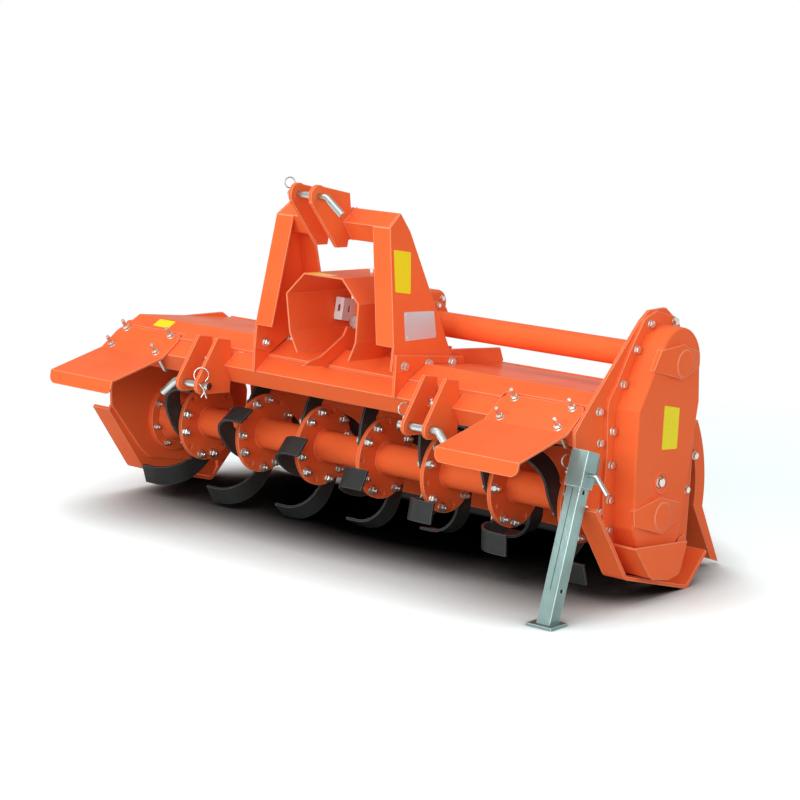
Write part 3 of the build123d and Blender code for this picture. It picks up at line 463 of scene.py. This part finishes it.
# (y, z) at an angle on a ring round a line along X
def onRing(radius, degrees, y=0, z=0):
    return y + radius * cos(radians(degrees)), z + radius * sin(radians(degrees))


# four points round a square bar on its corner: front, top, rear and bottom
def diamond(x, half, y, z):
    return [(x, y - half, z), (x, y, z + half), (x, y + half, z), (x, y, z - half)]


def rectangle(left, right, low, high):
    return [(left, low), (right, low), (right, high), (left, high)]


# 2-D corners with each one rounded off, over less than half of either side
def roundedOutline(corners, radius, steps=5, share=0.45):
    outline = []
    for i, corner in enumerate(corners):
        corner = Vector(corner)
        toLast = Vector(corners[i - 1]) - corner
        toNext = Vector(corners[(i + 1) % len(corners)]) - corner
        reach = min(radius, toLast.length * share, toNext.length * share)
        start, end = corner + toLast.normalized() * reach, corner + toNext.normalized() * reach
        for k in range(steps + 1):
            t = k / steps
            outline.append(start * (1 - t) ** 2 + corner * 2 * t * (1 - t) + end * t * t)
    return outline


def clean(mesh, merge=0.00002):
    shape = bmesh.new()
    shape.from_mesh(mesh)
    bmesh.ops.remove_doubles(shape, verts=shape.verts, dist=merge)
    bmesh.ops.recalc_face_normals(shape, faces=shape.faces)
    shape.to_mesh(mesh)
    shape.free()


# a flat plate: 2-D outlines in mm (inner ones are holes) on a plane, standing proud of it
def flatPiece(name, outlines, thickness, origin, across, upward, material, body, slotName, bevel=0.0):
    curve = bpy.data.curves.new(name, "CURVE")
    curve.dimensions = "2D"
    curve.fill_mode = "BOTH"
    curve.extrude = thickness / 2 / level["perMetre"]
    curve.bevel_depth = bevel / level["perMetre"]
    for outline in outlines:
        spline = curve.splines.new("POLY")
        spline.points.add(len(outline) - 1)
        for point, spot in zip(spline.points, outline):
            point.co = (spot[0] / level["perMetre"], spot[1] / level["perMetre"], 0, 1)
        spline.use_cyclic_u = True
    flat = bpy.data.objects.new(name, curve)
    scene.collection.objects.link(flat)
    mesh = baked(flat)
    u = turned(*across)
    w = u.cross(turned(*upward)).normalized()
    proud = w * ((thickness / 2 + bevel) / level["perMetre"])
    facing = Matrix((u, w.cross(u), w)).transposed().to_4x4()
    mesh.transform(Matrix.Translation(place(*origin) + proud) @ facing)
    clean(mesh)
    keep(name, mesh, material, body)


rightward, leftward = (1, 0, 0), (-1, 0, 0)
sides = ((1, rightward), (-1, leftward))

# the rotor's blade bolts: a nut with its stud's end on one face, a head on the other
rotor = {"flanges": 7, "pitch": 228, "flange": 12, "blade": 7, "ringRadius": 100, "firstRoot": 5.5,
         "rootStep": 15, "roots": 4, "spread": 15, "bolt": 1.14, "stud": 22, "boltSeed": 11,
         "tube": 44, "weldSteps": 32, "bead": 0.0032, "beadPitch": 0.0055}
rotorBolts, rotorWelds = [], []
for i in range(rotor["flanges"]):
    x = (i - (rotor["flanges"] - 1) / 2) * rotor["pitch"]
    faces = (x - rotor["flange"] / 2, x + rotor["flange"] / 2)
    quarter = 360 / rotor["roots"]
    for k in range(rotor["roots"]):
        root = (rotor["firstRoot"] + rotor["rootStep"] * i) % quarter + quarter * k
        for offset in (-rotor["spread"], rotor["spread"]):
            spot = onRing(rotor["ringRadius"], root + offset)
            rotorBolts.append((faces[1], *spot, rightward, rotor["bolt"], rotor["stud"]))
            rotorBolts.append((faces[0] - rotor["blade"], *spot, leftward, rotor["bolt"], 0))
    rotorWelds += [(True, circle(face, 0, 0, rotor["tube"], rotor["weldSteps"])) for face in faces]
grow("bladeBolts", boltPoints("bladeBoltPoints", rotorBolts), bolts, {"Seed": rotor["boltSeed"]},
     boltZinc, "rotor")
grow("rotorWelds", lines("rotorWeldLines", rotorWelds), welds,
     {"Bead Radius": rotor["bead"], "Pitch": rotor["beadPitch"]}, orangePaint, "rotor")
print("rotor bolts and welds made")

# bolts on the frame; each row is x, y, z, axis, size, stud
frameBolts = []
sidePlate = {
    "outer": 832, "inner": 810, "caseFlange": 9, "skidWeb": 8, "bolt": 0.95, "rearBolt": 0.9,
    "caseEdge": [(-61, 478), (51, 494), (-106, 409), (-143, 318), (-159, 198), (-143, 112), (-128, 23),
                 (-110, -55), (126, 400), (140, 300), (140, 180), (140, 60), (136, -50), (60, -98), (-30, -98)],
    "frontEdge": [(-220, 243), (-195, 165), (-154, -9)], "rearEdge": [(246, 58), (262, 150)],
    "skid": [(252, -92), (-236, 0), (-92, -130)],
}
bearing = {"bolts": 8, "ringRadius": 90, "firstAt": 26, "bolt": 0.85, "stud": 18}
mastBracket = {"outer": 254.2, "inner": 240, "bolt": 1.05, "stud": 18,
               "bolts": [(-292, 273), (-192, 287), (-94, 299)]}
for y, z in sidePlate["caseEdge"]:
    frameBolts.append((sidePlate["outer"] + sidePlate["caseFlange"], y, z, rightward, sidePlate["bolt"], 0))
for sign, facing in sides:
    inside = (-sign, 0, 0)
    for y, z in sidePlate["frontEdge"]:
        frameBolts.append((sign * sidePlate["outer"], y, z, facing, sidePlate["bolt"], 0))
    for y, z in sidePlate["rearEdge"]:
        frameBolts.append((sign * sidePlate["outer"], y, z, facing, sidePlate["rearBolt"], 0))
    for y, z in sidePlate["skid"]:
        skidFace = sign * (sidePlate["outer"] + sidePlate["skidWeb"])
        frameBolts.append((skidFace, y, z, facing, sidePlate["bolt"], 0))
    for k in range(bearing["bolts"]):
        spot = onRing(bearing["ringRadius"], bearing["firstAt"] + 360 / bearing["bolts"] * k)
        frameBolts.append((sign * sidePlate["inner"], *spot, inside, bearing["bolt"], bearing["stud"]))
        if facing == leftward:  # no case covers this end
            frameBolts.append((-sidePlate["outer"], *spot, leftward, bearing["bolt"], 0))
    for y, z in mastBracket["bolts"]:  # through the mast's legs
        frameBolts.append((sign * mastBracket["outer"], y, z, facing, mastBracket["bolt"], 0))
        frameBolts.append((sign * mastBracket["inner"], y, z, inside, mastBracket["bolt"], mastBracket["stud"]))

gear = {
    "y": -5, "z": 395, "tilt": radians(8), "side": 100, "cap": 14, "capRing": 48, "capBolt": 0.6,
    "sideBolts": [(-92, 66), (-92, -50), (38, 64), (44, -50)], "sideBolt": 0.7,
    "noseRun": -130, "noseRing": 40, "noseBolt": 0.55, "ringBolts": 6,
    "hood": 133, "hoodRun": -148, "hoodBolt": 0.8, "top": 87, "topRun": -40, "topX": 70, "topBolt": 0.7,
    "fillerRun": -20, "fillerPlug": 1.3,
}
gearUp = (0, -sin(gear["tilt"]), cos(gear["tilt"]))
gearForward = (0, -cos(gear["tilt"]), -sin(gear["tilt"]))


# (y, z) of a point run behind and rise above the drive axis, square to the input shaft
def geared(run, rise):
    return (gear["y"] + run * cos(gear["tilt"]) - rise * sin(gear["tilt"]),
            gear["z"] + run * sin(gear["tilt"]) + rise * cos(gear["tilt"]))


ringAngles = [30 + 360 / gear["ringBolts"] * k for k in range(gear["ringBolts"])]
for sign, facing in sides:
    for angle in ringAngles:
        spot = onRing(gear["capRing"], angle, gear["y"], gear["z"])
        frameBolts.append((sign * (gear["side"] + gear["cap"]), *spot, facing, gear["capBolt"], 0))
    for run, rise in gear["sideBolts"]:
        frameBolts.append((sign * gear["side"], *geared(run, rise), facing, gear["sideBolt"], 0))
for angle in ringAngles:
    rise, x = onRing(gear["noseRing"], angle)
    frameBolts.append((x, *geared(gear["noseRun"], rise), gearForward, gear["noseBolt"], 0))
frameBolts.append((0, *geared(gear["hoodRun"], gear["hood"]), gearUp, gear["hoodBolt"], 0))
for x in (-gear["topX"], gear["topX"]):
    frameBolts.append((x, *geared(gear["topRun"], gear["top"]), gearUp, gear["topBolt"], 0))
frameBolts.append((0, *geared(gear["fillerRun"], gear["top"]), gearUp, gear["fillerPlug"], 0))

oilPlug = {"spot": (902, -3, 83), "size": 1.15, "rim": (906, 2, 82), "rimRadius": 28, "rimSteps": 40,
           "rimBar": {"Rod Radius": 0.003, "Bend Radius": 0.001, "Sides": 10}}
frameBolts.append((*oilPlug["spot"], rightward, oilPlug["size"], 0))

# the square front beam on its corner, with the guard plates' clamps and the clevises' bolts
beam = {
    "y": -263, "z": 190, "clamps": (-808, -628, 603, 783), "leg": 36, "legEnd": 38, "legBack": -36,
    "clampNut": 35, "clampBolt": 0.95, "clampStud": 34, "rod": {"Rod Radius": 0.0058, "Bend Radius": 0.011},
    "clevises": (386, 422), "clevisAcross": (8, -34), "clevisFace": 38.6, "clevisBolt": 0.9, "clevisStud": 18,
    "boltSeed": 4,
}
beamForward = (0, -1, 1)


# (y, z) of a point across and out from the beam's middle, square to its upper front face
def onBeam(across, out):
    root = sqrt(0.5)
    return beam["y"] + root * (across - out), beam["z"] + root * (across + out)


clampCorners = [(beam["leg"], beam["legEnd"]), (beam["leg"], beam["legBack"]),
                (-beam["leg"], beam["legBack"]), (-beam["leg"], beam["legEnd"])]
clampLines = []
for x in beam["clamps"]:
    for across in (-beam["leg"], beam["leg"]):
        spot = onBeam(across, beam["clampNut"])
        frameBolts.append((x, *spot, beamForward, beam["clampBolt"], beam["clampStud"]))
    clampLines.append((False, [(x, *onBeam(across, out)) for across, out in clampCorners]))
for sign in (-1, 1):
    for x in beam["clevises"]:
        for across in beam["clevisAcross"]:
            spot = onBeam(across, beam["clevisFace"])
            frameBolts.append((sign * x, *spot, beamForward, beam["clevisBolt"], beam["clevisStud"]))
grow("frameBolts", boltPoints("frameBoltPoints", frameBolts), bolts, {"Seed": beam["boltSeed"]},
     boltZinc, "frame")
grow("beamClamps", lines("beamClampLines", clampLines), wires, beam["rod"], boltZinc, "frame")

# welds on the frame: round the mast's head tube and along the beam
headTube = {"y": -323, "z": 626, "half": 42.9, "welds": (-41, -29, 29, 41)}
beamWelds = {"half": 43, "legs": (254.5, 245.8), "clevises": (363, 375, 433, 445), "sidePlates": 823,
             "bead": {"Bead Radius": 0.0028, "Pitch": 0.0048}}


def roundBeam(x):
    return diamond(x, beamWelds["half"], beam["y"], beam["z"])


frameWelds = []
for x in headTube["welds"]:
    frameWelds.append((True, diamond(x, headTube["half"], headTube["y"], headTube["z"])))
for sign in (-1, 1):
    frameWelds += [(False, roundBeam(sign * x)[:2]) for x in beamWelds["legs"]]
    frameWelds += [(False, roundBeam(sign * x)[:3]) for x in beamWelds["clevises"]]
    frameWelds.append((True, roundBeam(sign * beamWelds["sidePlates"])))
grow("frameWelds", lines("frameWeldLines", frameWelds), welds, beamWelds["bead"], orangePaint, "frame")
print("frame bolts, clamps and welds made")

# rings on the top, right and stand pins, and a spring clip on the left one
clips = {
    # each ring's place, radius and swing
    "rings": [(-60, -488, 707, 14, 30), (352, -389, 170, 16, 25), (818, -304, 114, 15, 25)],
    "ringSteps": 28, "wire": {"Rod Radius": 0.0019, "Bend Radius": 0.006, "Sides": 8},
    # the left pin's clip, a round loop over two legs that cross: each row is across, up and deep
    "leftPin": (-352, -383, 130), "facing": (0.77, 0.64), "loop": (-17, 28), "loopRadius": 20,
    "firstLeg": [(-9, -34, -3), (1, -8, -3)], "lastLeg": [(-7, -8, 3), (7, -34, 3)],
    "crossPins": [((-58, -480, 664), (-58, -482, 695)), ((350, -383, 113), (350, -383, 156)),
                  ((818, -294, 76), (818, -296, 101))],
    "crossPin": {"Rod Radius": 0.0032, "Sides": 10},
}
clipLoop = [(*onRing(clips["loopRadius"], t, *clips["loop"]), t / 60 - 2)  # its two ends pass each other
            for t in range(-50, 231, 20)]
clipX, clipY, clipZ = clips["leftPin"]
alongX, alongY = clips["facing"]
leftClip = [(clipX + alongX * across + alongY * deep, clipY + alongY * across - alongX * deep, clipZ + high)
            for across, high, deep in clips["firstLeg"] + clipLoop + clips["lastLeg"]]
clipLines = [(True, circle(x, y, z, radius, clips["ringSteps"], swing))
             for x, y, z, radius, swing in clips["rings"]]
clipLines.append((False, leftClip))
rimLine = circle(*oilPlug["rim"], oilPlug["rimRadius"], oilPlug["rimSteps"])
crossPinLines = [(False, ends) for ends in clips["crossPins"]]
for name, paths, bar, finish, slotName in (
        ("pinClips", clipLines, clips["wire"], brightSteel, "bright_steel"),
        ("plugRim", [(True, rimLine)], oilPlug["rimBar"], orangePaint, "orange_paint"),
        ("crossPins", crossPinLines, clips["crossPin"], brightSteel, "bright_steel")):
    grow(name, lines(name + "Lines", paths), wires, bar, finish, "frame")

# bare yellow labels, and the bare silver plate with its rivets; a face is its origin, across and up
mast = {"x": 246, "z": 318, "lean": radians(8.495)}
mastFace = ((mast["x"], 0, mast["z"]), (0, 1, 0), (-sin(mast["lean"]), 0, cos(mast["lean"])))
caseFace = ((906, 0, 0), (0, 1, 0), (0, 0, 1))
deckFace = ((-700, -263, 240.8), (1, 0, 0), (0, 0.7907, 0.6122))
hoodFace = ((0, *geared(-351, gear["hood"])), (1, 0, 0), (0, cos(gear["tilt"]), sin(gear["tilt"])))
labels = {
    "thickness": 0.5, "round": 4, "rivet": 0.26, "rivets": [(-279, 31), (-165, 49), (-176, 103), (-287, 90)],
    "rows": [
        ("caseLabel", [(-19, 166), (51, 172), (35, 277), (-37, 279)], caseFace, labelYellow),
        ("mastLabel", [(-336, 146), (-272, 147), (-276, 257), (-348, 256)], mastFace, labelYellow),
        ("mastPlate", [(-288, 21), (-155, 41), (-169, 111), (-297, 97)], mastFace, plateSilver),
        ("deckLabel", rectangle(-32, 32, 34, 68), deckFace, labelYellow),
        ("hoodLabel", rectangle(-58, 20, 6, 40), hoodFace, labelYellow),
    ],
}
for name, corners, face, finish in labels["rows"]:
    outline = roundedOutline(corners, labels["round"])
    flatPiece(name, [outline], labels["thickness"], *face, finish, "frame", "zinc")
outOfLeg = (cos(mast["lean"]), 0, sin(mast["lean"]))
rivets = [(mast["x"] - sin(mast["lean"]) * high, y, mast["z"] + cos(mast["lean"]) * high, outOfLeg,
           labels["rivet"], 0) for y, high in labels["rivets"]]
grow("plateRivets", boltPoints("plateRivetPoints", rivets), bolts, {}, plateSilver, "frame")

# slotted angle bracket beside the gearbox: each plate's span, its slot's middle and half width, and its face
slotted = {
    "thickness": 2.5, "low": 364, "high": 426, "round": 3, "slotLow": 387, "slotHigh": 407, "slotRound": 0.9,
    "bevel": 0.2,
    "plates": [("angleFront", (-113, -84), -99, 4.5, (0, -167, 0), (1, 0, 0)),
               ("angleSide", (-167, -117), -143, 5, (-87, 0, 0), (0, 1, 0))],
}
for name, span, middle, half, origin, across in slotted["plates"]:
    plate = roundedOutline(rectangle(*span, slotted["low"], slotted["high"]), slotted["round"])
    slot = rectangle(middle - half, middle + half, slotted["slotLow"], slotted["slotHigh"])
    slot = roundedOutline(slot, half * slotted["slotRound"])
    flatPiece(name, [plate, slot], slotted["thickness"], origin, across, (0, 0, 1), whiteZinc, "frame", "zinc",
              bevel=slotted["bevel"])

# the rolled seam down the front of the stand's leg
stand = {"x": 858, "y": -294.5, "z": 88, "lean": radians(7), "half": 20,
         "seam": rectangle(-2, 0, -295, -38), "seamThickness": 0.15}
seamUp = (0, sin(stand["lean"]), cos(stand["lean"]))
seamFoot = (stand["x"], stand["y"] - stand["half"] * seamUp[2], stand["z"] + stand["half"] * seamUp[1])
flatPiece("legSeam", [stand["seam"]], stand["seamThickness"], seamFoot, (1, 0, 0), seamUp, bladeBlack,
          "stand_leg", "zinc")

# thin closing plates on the left end: behind the side plate, and down to the skid's sole
closing = {
    "x": -832.2, "thickness": 3, "round": 6, "bevel": 0.3,
    "leftRearStrip": [(232, 200), (246, 198), (318, 92), (330, -20), (322, -76), (270, -78), (255, 60)],
    "leftSkidWeb": [(-122, -98), (-76, -126), (214, -126), (226, -150), (214, -184), (-83, -160)],
}
for name in ("leftRearStrip", "leftSkidWeb"):
    outline = roundedOutline([(-y, z) for y, z in closing[name]], closing["round"])
    flatPiece(name, [outline], closing["thickness"], (closing["x"], 0, 0), (0, -1, 0), (0, 0, 1), orangePaint,
              "frame", "orange_paint", bevel=closing["bevel"])
print("clips, labels, bracket, seam and closing plates made")

# floor, backdrop light and lamps; on top of the lamps' real shadows the floor has a painted shadow from ambient
# occlusion, and its deepest painted shade is an ellipse under the machine's rear and just behind
stage = {
    "half": 150.0, "farFrom": 1.5, "farTo": 2.8, "seenGain": 1.45, "lessRed": 0.9, "bounce": 0.5,
    "shadowReach": 0.95, "shadowFrom": (0.2, -0.55, 0.81), "shadowSamples": 24,
    "openFrom": 0.16, "openTo": 0.84, "darkest": 0.02, "deepAt": (-0.05, 0.3, 0), "deepSize": (1.0, 0.6, 1),
    "deepFrom": 0.5, "deepTo": 1.0, "deepShade": 0.03, "worldLight": 0.55,
}
floorMesh = bpy.data.meshes.new("floor")
corners = rectangle(-stage["half"], stage["half"], -stage["half"], stage["half"])
floorMesh.from_pydata([(x, y, 0) for x, y in corners], [], [(0, 1, 2, 3)])
floor = bpy.data.objects.new("floor", floorMesh)
scene.collection.objects.link(floor)
floorMat = bpy.data.materials.new("paleFloor")
floorMesh.materials.append(floorMat)
tree = emptied(floorMat)
spot = step(tree, "ShaderNodeTexCoord").outputs["Object"]
far = ramp(tree, vectorMaths(tree, "LENGTH", spot)["Value"], stage["farFrom"], stage["farTo"])
# painted shadow: ambient occlusion, looked for along a direction tilted towards the front, darkens the floor's
# colour near the machine
opened = step(tree, "ShaderNodeAmbientOcclusion", {
    "Distance": stage["shadowReach"], "Normal": stage["shadowFrom"]}, samples=stage["shadowSamples"])
opened = opened.outputs["AO"]
paintedFloorLight = ramp(tree, opened, stage["openFrom"], stage["openTo"], stage["darkest"], stage["seenGain"])
# painted shadow: a dark ellipse under and just behind the machine's rear
fromDeep = vectorMaths(tree, "SUBTRACT", spot, stage["deepAt"])[0]
fromDeep = vectorMaths(tree, "DIVIDE", fromDeep, stage["deepSize"])[0]
fromDeep = vectorMaths(tree, "LENGTH", fromDeep)["Value"]
paintedFloorLight = maths(tree, "MULTIPLY", paintedFloorLight,
                  ramp(tree, fromDeep, stage["deepFrom"], stage["deepTo"], stage["deepShade"]))
white = step(tree, "ShaderNodeCombineXYZ", {
    "X": maths(tree, "MULTIPLY", paintedFloorLight, stage["lessRed"]), "Y": paintedFloorLight, "Z": paintedFloorLight}).outputs[0]
near = step(tree, "ShaderNodeBsdfDiffuse", {"Color": white}).outputs[0]
away = step(tree, "ShaderNodeEmission", {"Color": (1, 1, 1, 1), "Strength": 1.0}).outputs[0]
shown = step(tree, "ShaderNodeMixShader", {0: far, 1: near, 2: away}).outputs[0]
bounce = stage["bounce"]
unseen = step(tree, "ShaderNodeBsdfDiffuse", {"Color": (bounce, bounce, bounce, 1)}).outputs[0]
path = step(tree, "ShaderNodeLightPath").outputs
seen = maths(tree, "MAXIMUM", path["Is Camera Ray"], path["Is Glossy Ray"])
seen = maths(tree, "MAXIMUM", seen, path["Is Transmission Ray"])
both = step(tree, "ShaderNodeMixShader", {0: seen, 1: unseen, 2: shown}).outputs[0]
feed(tree, step(tree, "ShaderNodeOutputMaterial").inputs["Surface"], both)

world = bpy.data.worlds.new("studio")
scene.world = world
tree = emptied(world)
fill = step(tree, "ShaderNodeBackground", {"Color": (1, 1, 1, 1), "Strength": stage["worldLight"]}).outputs[0]
feed(tree, step(tree, "ShaderNodeOutputWorld").inputs["Surface"], fill)

# each lamp's place, what it aims at, its size and its power in watts
lamps = {
    "overhead": ((-0.3, -0.9, 3.2), (0, 0, 0.3), (3.0, 2.2), 24),
    "frontLeft": ((-0.2, -4.8, 2.1), (0, 0, 0.35), (3.4, 2.4), 95),
    "frontCentre": ((2.5, -4.7, 1.9), (0.2, 0, 0.35), (2.6, 2.2), 75),
    "rightSide": ((4.6, 0.4, 1.4), (0.6, 0, 0.4), (1.6, 2.0), 25),
}
for name, (spot, aim, size, power) in lamps.items():
    data = bpy.data.lights.new(name, "AREA")
    data.shape = "RECTANGLE"
    data.size, data.size_y = size
    data.energy = power
    lamp = bpy.data.objects.new(name, data)
    facing = (Vector(spot) - Vector(aim)).to_track_quat("Z", "Y").to_matrix().to_4x4()
    lamp.matrix_world = Matrix.Translation(spot) @ facing
    scene.collection.objects.link(lamp)
print("stage set")
